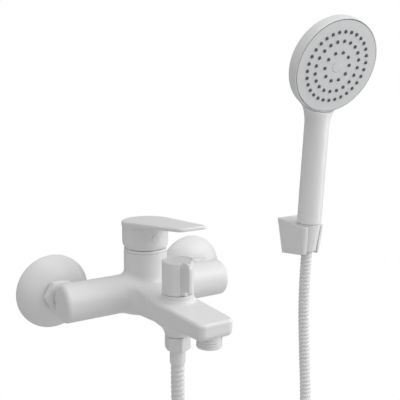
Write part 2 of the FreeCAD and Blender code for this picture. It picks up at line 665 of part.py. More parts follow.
def build_bracket():
    across = V(2 * bracket_half_top + 4, 0, 0)
    shift = V(bracket_x - bracket_half_top - 2, 0, 0)
    side = prism([back_top + shift, front_top + shift, front_low + shift, back_low + shift], across)
    front = prism([V(bracket_x - bracket_half_top, 10, back_top.z),
                   V(bracket_x + bracket_half_top, 10, back_top.z),
                   V(bracket_x + bracket_half_low, 10, back_low.z),
                   V(bracket_x - bracket_half_low, 10, back_low.z)],
                  V(0, -80, 0))
    fork = side.common(front)
    corners = [edge for edge in fork.Edges
               if edge.BoundBox.ZLength > 20 and edge.CenterOfMass.y < -30]
    fork = fork.makeFillet(3.0, corners)
    slope = (cone_top_radius - cone_low_radius) / (cone_length - 0.1)
    above = 8.0
    below = 12.0
    seat = taper(cone_low_radius + seat_play - slope * below, cone_top_radius + seat_play + slope * above,
                 cone_length + below + above - 0.1, V(0, 0, -cone_length - below))
    slot = block(-slot_half, slot_half, -60, 0, -60, 20)
    fork = less(fork, in_hand_straight(seat), in_hand_straight(slot), dovetail(-4, plate_top_z + 0.2, 0.15))
    for z in screw_heights:
        fork = less(fork, rod(4.4, 6.5 - back_y(z), V(bracket_x, 0, z), OUT))
    save("bracket_fork", fork)
    half_low = 5.2
    half_top = 11.0
    plate = prism([V(bracket_x - half_low, 0, plate_low_z), V(bracket_x + half_low, 0, plate_low_z),
                   V(bracket_x + half_top, 0, plate_top_z), V(bracket_x - half_top, 0, plate_top_z)],
                  V(0, -20, 0))
    wedge = prism([V(0, 0, plate_low_z - 1), V(0, back_y(plate_low_z - 1), plate_low_z - 1),
                   V(0, back_y(plate_top_z + 1), plate_top_z + 1), V(0, 0, plate_top_z + 1)], V(400, 0, 0))
    plate = joined(plate.common(wedge), dovetail(plate_low_z + 2, plate_top_z, 0.0))
    for z in screw_heights:
        plate = less(plate, rod(screw_hole, 40, V(bracket_x, 5, z), OUT))
    save("bracket_wall_plate", plate)


def in_hand_straight(shape):
    """As in_hand, without the turn of the hand shower in its seat."""
    moved = shape.copy()
    upright = FreeCAD.Placement(foot, FreeCAD.Rotation(RIGHT, lean))
    moved.Placement = upright.multiply(moved.Placement)
    return moved


# ---- hose --------------------------------------------------------------------------------------------
hose_left_route = [V(0, -103.5, -52), V(0, -103.5, -90), V(4.5, -102, -127), V(20, -98, -160),
                   V(41, -93.5, -187), V(56.5, -89, -211), V(62.5, -86, -237)]
hose_right_end = foot - handle_axis * cone_length
hose_right_route = [hose_right_end, hose_right_end - handle_axis * 40, V(207.7, -32.8, -72),
                    V(207.6, -36.2, -112), V(206.6, -41.2, -150), V(202.6, -46.8, -184),
                    V(198.6, -51.2, -212), V(197.5, -52.25, -237)]


def cord_tube(route, radius, label):
    """Straight runs joined by tangent arcs, each as large as its two runs allow."""
    edges = []
    start = route[0]
    radii = []
    for before, corner, after in zip(route, route[1:], route[2:]):
        run_in = corner - before
        run_out = after - corner
        angle = run_in.getAngle(run_out)
        cut = 0.45 * min(run_in.Length, run_out.Length)
        arc_radius = cut / math.tan(angle / 2)
        radii.append(round(arc_radius))
        direction_in = V(run_in).normalize()
        direction_out = V(run_out).normalize()
        arc_start = corner - direction_in * cut
        arc_end = corner + direction_out * cut
        inward = V(direction_out - direction_in).normalize()
        middle = corner + inward * (arc_radius / math.cos(angle / 2) - arc_radius)
        edges.append(Part.LineSegment(start, arc_start).toShape())
        edges.append(Part.Arc(arc_start, middle, arc_end).toShape())
        start = arc_end
    edges.append(Part.LineSegment(start, route[-1]).toShape())
    path = Part.Wire(edges)
    first = V(route[1] - route[0]).normalize()
    section = Part.Wire([Part.makeCircle(radius, route[0], first)])
    solid = path.makePipeShell([section], True, False, 2)
    expected = math.pi * radius ** 2 * path.Length
    print(label, "radii", radii, "length", round(path.Length, 1),
          "volume share", round(solid.Volume / expected, 4))
    return solid, path.Length


def build_hose():
    left, left_length = cord_tube(hose_left_route, hose_radius, "hose left")
    right, right_length = cord_tube(hose_right_route, hose_radius, "hose right")
    save("hose_lead_left", left)
    save("hose_lead_right", right)
    depth = coil_back_y - coil_front_y + 2 * hose_radius
    coil = tube(coil_radius + hose_radius, coil_radius - hose_radius, depth,
                V(coil_x, coil_front_y - hose_radius, coil_z), INTO_WALL)
    save("hose_coil", coil)
    turns = 2.5
    print("whole hose", round(left_length + right_length + turns * 2 * math.pi * coil_radius, 1))
    play = 0.5
    strap = 1.4
    low = coil_z - coil_radius
    outer = block(coil_x - 5, coil_x + 5, coil_front_y - hose_radius - play - strap,
                  coil_back_y + hose_radius + play + strap, low - hose_radius - play - strap,
                  low + hose_radius + play + strap)
    inner = block(coil_x - 6, coil_x + 6, coil_front_y - hose_radius - play, coil_back_y + hose_radius + play,
                  low - hose_radius - play, low + hose_radius + play)
    save("hose_tie", outer.cut(inner))


build_inlet("left", -inlet_spacing / 2)
build_inlet("right", inlet_spacing / 2)
build_body()
build_cartridge()
build_lever()
build_diverter()
build_aerator()
build_outlet()
build_shower()
build_bracket()
build_hose()
print("handle axis", handle_axis, "foot", foot)
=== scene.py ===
import json
import math

import bmesh
import bpy
import numpy as np
from mathutils import Matrix, Vector


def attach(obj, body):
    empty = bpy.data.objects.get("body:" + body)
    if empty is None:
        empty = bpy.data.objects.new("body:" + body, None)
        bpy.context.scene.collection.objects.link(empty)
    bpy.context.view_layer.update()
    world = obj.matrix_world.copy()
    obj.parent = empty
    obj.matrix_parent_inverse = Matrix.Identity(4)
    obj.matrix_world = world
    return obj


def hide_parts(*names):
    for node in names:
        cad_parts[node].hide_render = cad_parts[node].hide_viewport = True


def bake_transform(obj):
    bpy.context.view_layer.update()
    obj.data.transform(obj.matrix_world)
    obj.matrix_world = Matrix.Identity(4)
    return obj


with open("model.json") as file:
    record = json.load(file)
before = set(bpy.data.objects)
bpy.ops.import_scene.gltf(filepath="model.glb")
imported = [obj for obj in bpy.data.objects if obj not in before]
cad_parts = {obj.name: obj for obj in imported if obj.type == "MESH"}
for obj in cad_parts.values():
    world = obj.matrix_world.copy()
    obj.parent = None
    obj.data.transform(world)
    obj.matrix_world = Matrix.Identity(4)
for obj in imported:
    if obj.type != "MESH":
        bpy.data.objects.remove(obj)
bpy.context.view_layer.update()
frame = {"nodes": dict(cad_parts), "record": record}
print("frame loaded:", len(frame["nodes"]), "pieces from the CAD model")

# Lengths below are in millimetres, turned to metres where a mesh is filled.
mm = 0.001
right = np.array([1.0, 0.0, 0.0])
up = np.array([0.0, 0.0, 1.0])
outward = np.array([0.0, -1.0, 0.0])  # away from the wall

placing = {
    "inletSpacing": 150.0,
    "inletDrop": 1.2,  # wall ends sit this much below the bar
    "barAxis": -44.5,  # Y of the mixer bar
    "outletAxis": -103.5,  # Y of the hose outlet and the diverter
    "aeratorAxis": -153.5,
    "foot": (207.4, -36.4, 39.7),  # foot of the shower handle
    "lean": 3.5,
    "turn": -3.8,
}


# Shaders
def newGroup(name, inputs, outputs):
    # A shader group: its inputs as name, kind and value, its outputs as name and kind
    group = bpy.data.node_groups.new(name, "ShaderNodeTree")
    for title, kind, value in inputs:
        socket = group.interface.new_socket(name=title, in_out="INPUT", socket_type="NodeSocket" + kind)
        if value is not None:
            socket.default_value = value
    for title, kind in outputs:
        group.interface.new_socket(name=title, in_out="OUTPUT", socket_type="NodeSocket" + kind)
    return group, group.nodes.new("NodeGroupInput"), group.nodes.new("NodeGroupOutput")


def addNode(tree, kind, values=None, **settings):
    # Settings go onto the node itself, then values into its inputs, by name or number
    node = tree.nodes.new("ShaderNode" + kind)
    for name, value in settings.items():
        setattr(node, name, value)
    for name, value in (values or {}).items():
        node.inputs[name].default_value = value
    return node


def join(tree, *wires):
    # Each wire is a node and its output, then a node and its input
    for source, output, target, entry in wires:
        tree.links.new(source.outputs[output], target.inputs[entry])


def buildGrainGroup():
    # Height = coarse noise + half of one 3.1 times finer; Speckle = the coarse noise between 0.35 and 0.65,
    # stretched to 0..1, times Contrast
    group, start, end = newGroup("coatGrain", [
        ("Vector", "Vector", None), ("Scale", "Float", 900.0), ("Contrast", "Float", 0.5),
    ], [("Height", "Float"), ("Speckle", "Float")])
    coarse = addNode(group, "TexNoise", {"Detail": 2.0})
    finer = addNode(group, "Math", {1: 3.1}, operation="MULTIPLY")
    fine = addNode(group, "TexNoise", {"Detail": 1.0})
    mix = addNode(group, "Math", {1: 0.5}, operation="MULTIPLY_ADD")
    push = addNode(group, "MapRange", {"From Min": 0.35, "From Max": 0.65})
    scaled = addNode(group, "Math", operation="MULTIPLY")
    join(group, (start, "Vector", coarse, "Vector"), (start, "Vector", fine, "Vector"),
         (start, "Scale", coarse, "Scale"), (start, "Scale", finer, 0), (finer, 0, fine, "Scale"),
         (fine, "Fac", mix, 0), (coarse, "Fac", mix, 2), (mix, 0, end, "Height"),
         (coarse, "Fac", push, "Value"), (push, "Result", scaled, 0), (start, "Contrast", scaled, 1),
         (scaled, 0, end, "Speckle"))
    return group


def buildUnevenGroup():
    # Color = Base mixed towards Tint by broad noise times Amount, plus Speckle;
    # Roughness = the Roughness given + Spread times the noise
    group, start, end = newGroup("unevenTone", [
        ("Vector", "Vector", None), ("Scale", "Float", 18.0), ("Base", "Color", (0.8, 0.8, 0.8, 1.0)),
        ("Tint", "Color", (0.7, 0.7, 0.7, 1.0)), ("Amount", "Float", 0.3), ("Speckle", "Float", 0.0),
        ("Roughness", "Float", 0.4), ("Spread", "Float", 0.06),
    ], [("Color", "Color"), ("Roughness", "Float")])
    broad = addNode(group, "TexNoise", {"Detail": 3.0})
    share = addNode(group, "Math", operation="MULTIPLY")
    both = addNode(group, "Math", operation="ADD", use_clamp=True)
    mix = addNode(group, "Mix", data_type="RGBA")
    rough = addNode(group, "Math", operation="MULTIPLY_ADD")
    join(group, (start, "Vector", broad, "Vector"), (start, "Scale", broad, "Scale"),
         (broad, "Fac", share, 0), (start, "Amount", share, 1), (share, 0, both, 0),
         (start, "Speckle", both, 1), (both, 0, mix, "Factor"), (start, "Base", mix, "A"),
         (start, "Tint", mix, "B"), (mix, "Result", end, "Color"), (broad, "Fac", rough, 0),
         (start, "Spread", rough, 1), (start, "Roughness", rough, 2), (rough, 0, end, "Roughness"))
    return group


grainGroup = buildGrainGroup()
unevenGroup = buildUnevenGroup()


def finishMaterial(name, look):
    # One Principled shader; grain gives its bump and speckle, uneven tone its colour and roughness
    material = bpy.data.materials.new(name)
    material.use_nodes = True
    material.diffuse_color = (*look["color"], 1.0)
    tree = material.node_tree
    shader = tree.nodes["Principled BSDF"]
    place = addNode(tree, "TexCoord")
    grain = addNode(tree, "Group", {"Scale": look["grainScale"], "Contrast": look["speckle"]},
                    node_tree=grainGroup)
    tone = addNode(tree, "Group", {
        "Scale": look["toneScale"], "Base": (*look["color"], 1.0), "Tint": (*look["tint"], 1.0),
        "Amount": look["uneven"], "Roughness": look["roughness"], "Spread": look["spread"],
    }, node_tree=unevenGroup)
    bump = addNode(tree, "Bump", {"Strength": look["bump"], "Distance": look["grainDepth"] * mm})
    join(tree, (place, "Object", grain, "Vector"), (place, "Object", tone, "Vector"),
         (grain, "Height", bump, "Height"), (grain, "Speckle", tone, "Speckle"),
         (tone, "Color", shader, "Base Color"), (tone, "Roughness", shader, "Roughness"),
         (bump, "Normal", shader, "Normal"))
    shader.inputs["Metallic"].default_value = look.get("metal", 0.0)
    shader.inputs["Coat Weight"].default_value = look.get("coat", 0.0)
    shader.inputs["Coat Roughness"].default_value = 0.25
    return material


lookNames = ("uneven", "toneScale", "speckle", "roughness", "spread", "grainScale", "grainDepth", "bump")
finishTable = {
    # name: material slot, colour, tint, the values named above, and what only some have
    "whiteCoat": ("white_coat", (0.79, 0.79, 0.785), (0.73, 0.735, 0.74),
                  (0.25, 22.0, 0.05, 0.36, 0.08, 1400.0, 0.05, 0.12), {"coat": 0.15}),
    "whitePlastic": ("white_plastic", (0.80, 0.80, 0.80), (0.75, 0.755, 0.76),
                     (0.2, 26.0, 0.03, 0.33, 0.06, 2100.0, 0.03, 0.08), {"coat": 0.2}),
    "facePlastic": ("face_plastic", (0.70, 0.71, 0.715), (0.64, 0.65, 0.66),
                    (0.25, 30.0, 0.22, 0.34, 0.08, 1500.0, 0.05, 0.2), {}),
    "hoseSleeve": ("hose_sleeve", (0.78, 0.78, 0.775), (0.68, 0.685, 0.69),
                   (0.3, 40.0, 0.05, 0.36, 0.1, 1800.0, 0.04, 0.1), {"coat": 0.1}),
    "nozzleRubber": ("nozzle_rubber", (0.085, 0.088, 0.092), (0.15, 0.155, 0.16),
                     (0.35, 90.0, 0.1, 0.3, 0.1, 3200.0, 0.03, 0.1), {}),
    "sealRubber": ("seal_rubber", (0.045, 0.045, 0.047), (0.09, 0.09, 0.09),
                   (0.4, 80.0, 0.1, 0.62, 0.1, 2400.0, 0.05, 0.2), {}),
    "turnedBrass": ("brass", (0.72, 0.55, 0.29), (0.58, 0.42, 0.20),
                    (0.35, 60.0, 0.08, 0.26, 0.12, 1500.0, 0.04, 0.14), {"metal": 1.0}),
    "steel": ("steel", (0.56, 0.57, 0.58), (0.43, 0.44, 0.45),
              (0.35, 80.0, 0.08, 0.28, 0.12, 1900.0, 0.03, 0.12), {"metal": 1.0}),
    "ceramic": ("ceramic", (0.88, 0.87, 0.83), (0.80, 0.79, 0.75),
                (0.25, 70.0, 0.05, 0.18, 0.08, 2600.0, 0.02, 0.06), {}),
    "greyPlastic": ("inner_plastic", (0.60, 0.61, 0.62), (0.50, 0.51, 0.52),
                    (0.3, 50.0, 0.06, 0.48, 0.08, 2000.0, 0.05, 0.15), {}),
}
materials = {}
slotOf = {}
for name, (slot, color, tint, values, extra) in finishTable.items():
    materials[name] = finishMaterial(name, dict(zip(lookNames, values), color=color, tint=tint, **extra))
    slotOf[name] = slot
finishOf = {slot: name for name, slot in slotOf.items()}
for name, node in frame["nodes"].items():
    slot = next(part["material_slot"] for part in frame["record"]["subparts"] if part["node"] == name)
    for index in range(len(node.material_slots)):
        node.material_slots[index].material = materials[finishOf[slot]]
print("finishes:", ", ".join(materials))


# Meshes
def facingOut(points, faces):
    # Quads turned over if the volume they enclose, a sum of corner triple products, comes out negative
    a, b, c, d = (points[faces[:, k]] for k in range(4))
    volume = np.einsum("ij,ij->i", a, np.cross(b, c)) + np.einsum("ij,ij->i", a, np.cross(c, d))
    return faces[:, ::-1] if volume.sum() < 0 else faces


def fillMesh(name, points, faces, normals=None):
    # A mesh of quads from an array of points and one of corner numbers, turned so that it faces outwards
    faces = facingOut(points, faces)
    mesh = bpy.data.meshes.new(name)
    mesh.vertices.add(len(points))
    mesh.vertices.foreach_set("co", (points * mm).astype(np.float32).ravel())
    mesh.loops.add(4 * len(faces))
    mesh.loops.foreach_set("vertex_index", faces.astype(np.int32).ravel())
    mesh.polygons.add(len(faces))
    mesh.polygons.foreach_set("loop_start", np.arange(0, 4 * len(faces), 4, dtype=np.int32))
    mesh.update(calc_edges=True)
    mesh.shade_smooth()
    if normals is not None:
        mesh.normals_split_custom_set_from_vertices(normals.astype(np.float32).tolist())
    return mesh


def addObject(name, data):
    added = bpy.data.objects.new(name, data)
    bpy.context.collection.objects.link(added)
    return added


def addPiece(mesh, finish, body, *nodes):
    # The piece takes its mesh's name and its finish, rides on its body and stands for its CAD nodes
    piece = addObject(mesh.name, mesh)
    mesh.materials.append(materials[finish])
    if body:
        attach(piece, body)
    if nodes:
        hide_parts(*nodes)
    print("piece", piece.name, len(mesh.polygons), "faces")
    return piece


def mergeDoubles(mesh):
    work = bmesh.new()
    work.from_mesh(mesh)
    bmesh.ops.remove_doubles(work, verts=work.verts, dist=2e-6)
    work.to_mesh(mesh)
    work.free()
    mesh.shade_smooth()


def gridFaces(rows, columns, closeRows=False):
    # Quads between neighbouring rows and columns of a grid whose columns close on themselves
    row = np.arange(rows if closeRows else rows - 1)[:, None]
    column = np.arange(columns)[None, :]
    nextRow = (row + 1) % rows
    nextColumn = (column + 1) % columns
    quads = [row * columns + column, row * columns + nextColumn,
             nextRow * columns + nextColumn, nextRow * columns + column]
    return np.stack([np.broadcast_to(q, (len(row), columns)) for q in quads], axis=-1).reshape(-1, 4)


def placed(points, base, axis=up):
    # Points drawn about +Z, swung so that +Z lies along the axis, then moved to the base
    swing = Vector((0, 0, 1)).rotation_difference(Vector(axis)).to_matrix()
    return points @ np.array(swing).T + np.array(base)


def roundedProfile(corners, steps=5):
    # Each corner (radius, height, rounding) becomes a parabola from one rounding before it to one after it
    points = []
    for index, (radius, height, rounding) in enumerate(corners):
        here = np.array([radius, height], float)
        if not rounding:
            points.append(here)
            continue
        before = np.array(corners[index - 1][:2], float) - here
        after = np.array(corners[(index + 1) % len(corners)][:2], float) - here
        before /= np.linalg.norm(before)
        after /= np.linalg.norm(after)
        first = here + before * rounding
        last = here + after * rounding
        t = np.linspace(0, 1, steps + 1)[:, None]
        points.append(first + before * 0.12 * rounding)
        points.extend((1 - t) ** 2 * first + 2 * t * (1 - t) * here + t ** 2 * last)
        points.append(last + after * 0.12 * rounding)
    return np.array(points)


def fullTurn(sides):
    return np.linspace(0, 2 * np.pi, sides, endpoint=False)


def sweep(radius, height, angle):
    # Points at every angle of each row; a row has one height, and one radius or a radius for each angle
    return np.stack([radius * np.cos(angle), radius * np.sin(angle),
                     np.broadcast_to(height, (len(height), len(angle)))], axis=-1).reshape(-1, 3)


def latheMesh(name, corners, base=None, axis=up, ring=False, sides=128, place=None):
    # The rounded profile carried round the axis, or set by place; a ring's profile closes on itself
    profile = roundedProfile(corners)
    points = sweep(profile[:, :1], profile[:, 1:], fullTurn(sides))
    points = place(points) if place else placed(points, base, axis)
    mesh = fillMesh(name, points, gridFaces(len(profile), sides, ring))
    if not ring:
        mergeDoubles(mesh)
    return mesh


# Solid shapes as distances
def softUnion(a, b, blend):
    # The nearer of two distances, less (blend - their difference) squared over 4 blend where they are close
    overlap = np.maximum(blend - np.abs(a - b), 0)
    return np.minimum(a, b) - overlap ** 2 / (4 * blend)


def roundMax(a, b, rounding):
    # What lies in both shapes, its edge turned to a quarter circle of that radius
    corner = np.hypot(np.maximum(rounding + a, 0), np.maximum(rounding + b, 0))
    return np.minimum(-rounding, np.maximum(a, b)) + corner


def within(value, low, high):
    # Distance outside the slab between two levels, negative inside it
    return np.abs(value - (low + high) / 2) - (high - low) / 2


def between(value, start, end):
    # 0 before start, 1 after end, 3t^2 - 2t^3 in between
    t = np.clip((value - start) / (end - start), 0, 1)
    return t * t * (3 - 2 * t)


def sampleField(field, low, high, step):
    # The field on a grid of points, slab by slab
    axes = [np.arange(low[k], high[k] + step, step) for k in range(3)]
    y, z = np.meshgrid(axes[1], axes[2], indexing="ij")
    slabs = [field(np.full(y.shape, x), y, z) for x in axes[0]]
    return np.stack(slabs), axes


def surfaceNet(field, low, high, step):
    # One point in each cell that the surface crosses, at the mean of its edge crossings, and one quad for
    # each crossed edge
    value, axes = sampleField(field, low, high, step)
    inside = value < 0
    cells = np.array(value.shape) - 1
    total = np.zeros((*cells, 3), np.float32)
    count = np.zeros(cells, np.float32)
    whole = slice(None)
    crossedEdges = []
    for a in range(3):
        b, c = (a + 1) % 3, (a + 2) % 3
        first = [whole] * 3
        second = [whole] * 3
        first[a] = slice(None, -1)
        second[a] = slice(1, None)
        first, second = tuple(first), tuple(second)
        crossed = inside[first] != inside[second]
        gap = value[first] - value[second]
        share = np.where(crossed, value[first] / np.where(crossed, gap, 1), 0)
        where = [axes[k][:crossed.shape[k]].reshape([-1 if n == k else 1 for n in range(3)])
                 for k in range(3)]
        point = np.stack([np.broadcast_to(w, crossed.shape) for w in where], axis=-1).astype(np.float32)
        point[..., a] += share * step
        point *= crossed[..., None]
        for offB in (slice(None, -1), slice(1, None)):
            for offC in (slice(None, -1), slice(1, None)):
                pick = [whole] * 3
                pick[b], pick[c] = offB, offC
                total += point[tuple(pick)]
                count += crossed[tuple(pick)]
        crossedEdges.append((crossed, inside[first]))
    used = count > 0
    number = np.full(cells, -1)
    number[used] = np.arange(used.sum())
    points = total[used] / count[used][:, None]
    faces = []
    for a, (crossed, insideFirst) in enumerate(crossedEdges):
        b, c = (a + 1) % 3, (a + 2) % 3
        at = np.argwhere(crossed)
        at = at[(at[:, b] > 0) & (at[:, c] > 0) & (at[:, b] < cells[b]) & (at[:, c] < cells[c])]
        offsets = [(-1, -1), (0, -1), (0, 0), (-1, 0)]
        quad = []
        for offB, offC in offsets:
            cell = at.copy()
            cell[:, b] += offB
            cell[:, c] += offC
            quad.append(number[tuple(cell.T)])
        quad = np.stack(quad, axis=-1)
        outFirst = ~insideFirst[tuple(at.T)]
        quad[outFirst] = quad[outFirst][:, ::-1]
        faces.append(quad)
    return points.astype(float), np.concatenate(faces)


def slopeOf(field, points, reach=0.04):
    # Central differences of the field along X, Y and Z
    slopes = []
    for k in range(3):
        shift = np.zeros(3)
        shift[k] = reach
        ahead = (points + shift).T
        behind = (points - shift).T
        slopes.append((field(*ahead) - field(*behind)) / (2 * reach))
    return np.stack(slopes, axis=-1)


def fieldSurface(field, low, high, step, place=None):
    # The net's points are slid along the field's slope until it reads zero; the slope is the normal
    points, faces = surfaceNet(field, low, high, step * (1.0))
    for _ in range(3):
        slope = slopeOf(field, points)
        size = np.maximum((slope ** 2).sum(axis=1), 0.2)
        move = (field(*points.T) / size)[:, None] * slope
        far = np.linalg.norm(move, axis=1)[:, None]
        points = points - move * np.minimum(1, 0.4 * step / np.maximum(far, 1e-9))
    normals = slopeOf(field, points)
    normals /= np.maximum(np.linalg.norm(normals, axis=1), 1e-9)[:, None]
    if place:
        points, normals = place(points, normals)
    return points, faces, normals


def fieldMesh(name, field, low, high, step):
    return fillMesh(name, *fieldSurface(field, low, high, step))


# Camera, floor and light
view = {
    "place": (-0.294106, -0.597177, 0.199330),
    "yaw": 0.569656,  # radians to the right of straight at the wall
    "pitch": -0.180432,
    "roll": 0.0075497,
    "sensor": 36.0,  # millimetres
    "lens": 62.24274,
}


def addCamera():
    yaw, pitch, roll = view["yaw"], view["pitch"], view["roll"]
    ahead = Vector((math.sin(yaw) * math.cos(pitch), math.cos(yaw) * math.cos(pitch), math.sin(pitch)))
    side = Vector((math.cos(yaw), -math.sin(yaw), 0))
    over = side.cross(ahead)
    rolledSide = side * math.cos(roll) + over * math.sin(roll)
    rolledOver = over * math.cos(roll) - side * math.sin(roll)
    data = bpy.data.cameras.new("camera")
    data.sensor_width = view["sensor"]
    data.lens = view["lens"]
    data.clip_start = 0.01
    camera = addObject("camera", data)
    turn = Matrix((rolledSide, rolledOver, -ahead)).transposed()
    camera.matrix_world = Matrix.Translation(view["place"]) @ turn.to_4x4()
    bpy.context.scene.camera = camera


studio = {
    "floorHeight": -0.36,
    "floorColor": (0.62, 0.62, 0.62, 1.0),
    "floorGlow": 0.995,  # share of plain white the camera sees in it
    "worldColor": (1.0, 1.0, 1.0, 1.0),
    "worldStrength": 0.44,  # what the surroundings shine with
    "backdropStrength": 1.0,  # how bright they look behind the object
    "floorHalf": 12.0,
    "lights": [
        # name, place, aimed at, size, power
        ("key", (0.95, -1.1, 1.0), (0.08, -0.06, 0.03), 1.0, 10.6),
        ("side", (1.7, -0.25, 0.5), (0.08, -0.06, 0.03), 1.0, 7.0),
        ("top", (-0.1, -0.3, 1.5), (0.08, -0.06, 0.03), 1.2, 6.5),
        ("low", (1.35, -0.85, -0.12), (0.2, -0.08, 0.2), 0.7, 3.0),
        ("fill", (-1.5, -1.2, 0.5), (0.08, -0.06, 0.03), 1.4, 2.6),
    ],
}


def addStudio():
    scene = bpy.context.scene
    world = bpy.data.worlds.new("studio")
    scene.world = world
    world.use_nodes = True
    tree = world.node_tree
    shine = tree.nodes["Background"]
    shine.inputs["Color"].default_value = studio["worldColor"]
    shine.inputs["Strength"].default_value = studio["worldStrength"]
    backdrop = addNode(tree, "Background",
                       {"Color": studio["worldColor"], "Strength": studio["backdropStrength"]})
    ray = addNode(tree, "LightPath")
    pick = addNode(tree, "MixShader")
    join(tree, (ray, "Is Camera Ray", pick, "Fac"), (shine, "Background", pick, 1),
         (backdrop, "Background", pick, 2), (pick, "Shader", tree.nodes["World Output"], "Surface"))
    scene.view_settings.view_transform = "Standard"
    for name, place, aim, size, power in studio["lights"]:
        data = bpy.data.lights.new(name, "AREA")
        data.size = size
        data.energy = power
        lamp = addObject(name, data)
        lamp.location = place
        lamp.rotation_euler = (Vector(aim) - Vector(place)).to_track_quat("-Z", "Y").to_euler()
    material = bpy.data.materials.new("floor")
    material.use_nodes = True
    tree = material.node_tree
    shader = tree.nodes["Principled BSDF"]
    shader.inputs["Base Color"].default_value = studio["floorColor"]
    shader.inputs["Roughness"].default_value = 0.9
    shader.inputs["Specular IOR Level"].default_value = 0.1
    glow = addNode(tree, "Emission", {"Color": studio["worldColor"]})
    ray = addNode(tree, "LightPath")
    seen = addNode(tree, "Math", {1: studio["floorGlow"]}, operation="MULTIPLY")
    pick = addNode(tree, "MixShader")
    join(tree, (ray, "Is Camera Ray", seen, 0), (seen, 0, pick, "Fac"), (shader, "BSDF", pick, 1),
         (glow, "Emission", pick, 2), (pick, "Shader", tree.nodes["Material Output"], "Surface"))
    half, height = studio["floorHalf"], studio["floorHeight"]
    mesh = bpy.data.meshes.new("floor")
    mesh.from_pydata([(-half, -half, height), (half, -half, height), (half, half, height),
                      (-half, half, height)], [], [(0, 1, 2, 3)])
    mesh.materials.append(material)
    floor = addObject("floor", mesh)


addCamera()
addStudio()
print("camera, floor and lights placed")

# Hose
foot = np.array(placing["foot"])
handleAxis = np.array([0.0, -0.06104853953, 0.9981347984])
coneLength = 31.0
hose = {
    "radius": 6.15,
    "ribPitch": 4.5,
    "ribDepth": 0.55,
    "leftRoute": [(0, -103.5, -52), (0, -103.5, -90), (4.5, -102, -127), (20, -98, -160),
                  (41, -93.5, -187), (56.5, -89, -211), (62.5, -86, -237)],
    "rightRoute": [foot - handleAxis * coneLength, foot - handleAxis * (coneLength + 40),
                   (207.7, -32.8, -72), (207.6, -36.2, -112), (206.6, -41.2, -150),
                   (202.6, -46.8, -184), (198.6, -51.2, -212), (197.5, -52.25, -237)],
    "coilMiddle": (130.0, -235.0),  # X and Z
    "coilRadius": 67.5,
    "coilFront": -86.0,  # Y of the first strand
    "coilBack": -52.25,
    "turns": 2.5,
    "pointsPerTurn": 24,
    "crown": 0.12,  # rise and fall of a rib between its grooves
    "grooveShare": 0.16,  # width of a groove, of a pitch
    "sides": 24,
    "followStart": (0.120, -0.05, -0.120),
    "followEnd": (0.208, -0.05, -0.032),
}


def hoseRoute():
    # Down the left lead, round the coil, whose angle runs from left through bottom, and up the right lead
    count = int(hose["turns"] * hose["pointsPerTurn"])
    step = np.arange(1, count) / count
    angle = math.pi + step * hose["turns"] * 2 * math.pi
    polygonShare = (1 + math.cos(math.pi / hose["pointsPerTurn"])) / 2
    radius = hose["coilRadius"] / polygonShare
    middleX, middleZ = hose["coilMiddle"]
    y = hose["coilFront"] + (hose["coilBack"] - hose["coilFront"]) * step
    coil = np.stack([middleX + radius * np.cos(angle), y, middleZ + radius * np.sin(angle)], axis=-1)
    return np.concatenate([np.array(hose["leftRoute"], float), coil,
                           np.array(hose["rightRoute"][::-1], float)])


def smoothLine(route):
    # The route's points as control points of one open NURBS spline, read back as points on it
    curve = bpy.data.curves.new("hoseLine", "CURVE")
    curve.dimensions = "3D"
    spline = curve.splines.new("NURBS")
    spline.points.add(len(route) - 1)
    spline.points.foreach_set("co", np.column_stack([route * mm, np.ones(len(route))]).ravel())
    spline.order_u = 3
    spline.use_endpoint_u = True
    spline.resolution_u = 16
    line = addObject("hoseLine", curve)
    mesh = bpy.data.meshes.new_from_object(line)
    points = np.empty(3 * len(mesh.vertices), np.float32)
    mesh.vertices.foreach_get("co", points)
    bpy.data.objects.remove(line)
    bpy.data.curves.remove(curve)
    bpy.data.meshes.remove(mesh)
    return points.reshape(-1, 3).astype(float) / mm


def evenly(line, spacing):
    # Points along a polyline at equal distances, and their distances from its start
    run = np.concatenate([[0], np.cumsum(np.linalg.norm(np.diff(line, axis=0), axis=1))])
    count = int(round(run[-1] / spacing)) + 1
    along = np.linspace(0, run[-1], count)
    return np.stack([np.interp(along, run, line[:, k]) for k in range(3)], axis=-1), along


def carriedFrames(points):
    # Unit tangents, and two normals carried from point to point without twist
    tangent = np.gradient(points, axis=0)
    tangent /= np.linalg.norm(tangent, axis=1)[:, None]
    normal = np.cross(tangent[0], right)
    normal /= np.linalg.norm(normal)
    normals = []
    for direction in tangent:
        normal = normal - direction * normal.dot(direction)
        normal /= np.linalg.norm(normal)
        normals.append(normal)
    normals = np.array(normals)
    return normals, np.cross(tangent, normals)


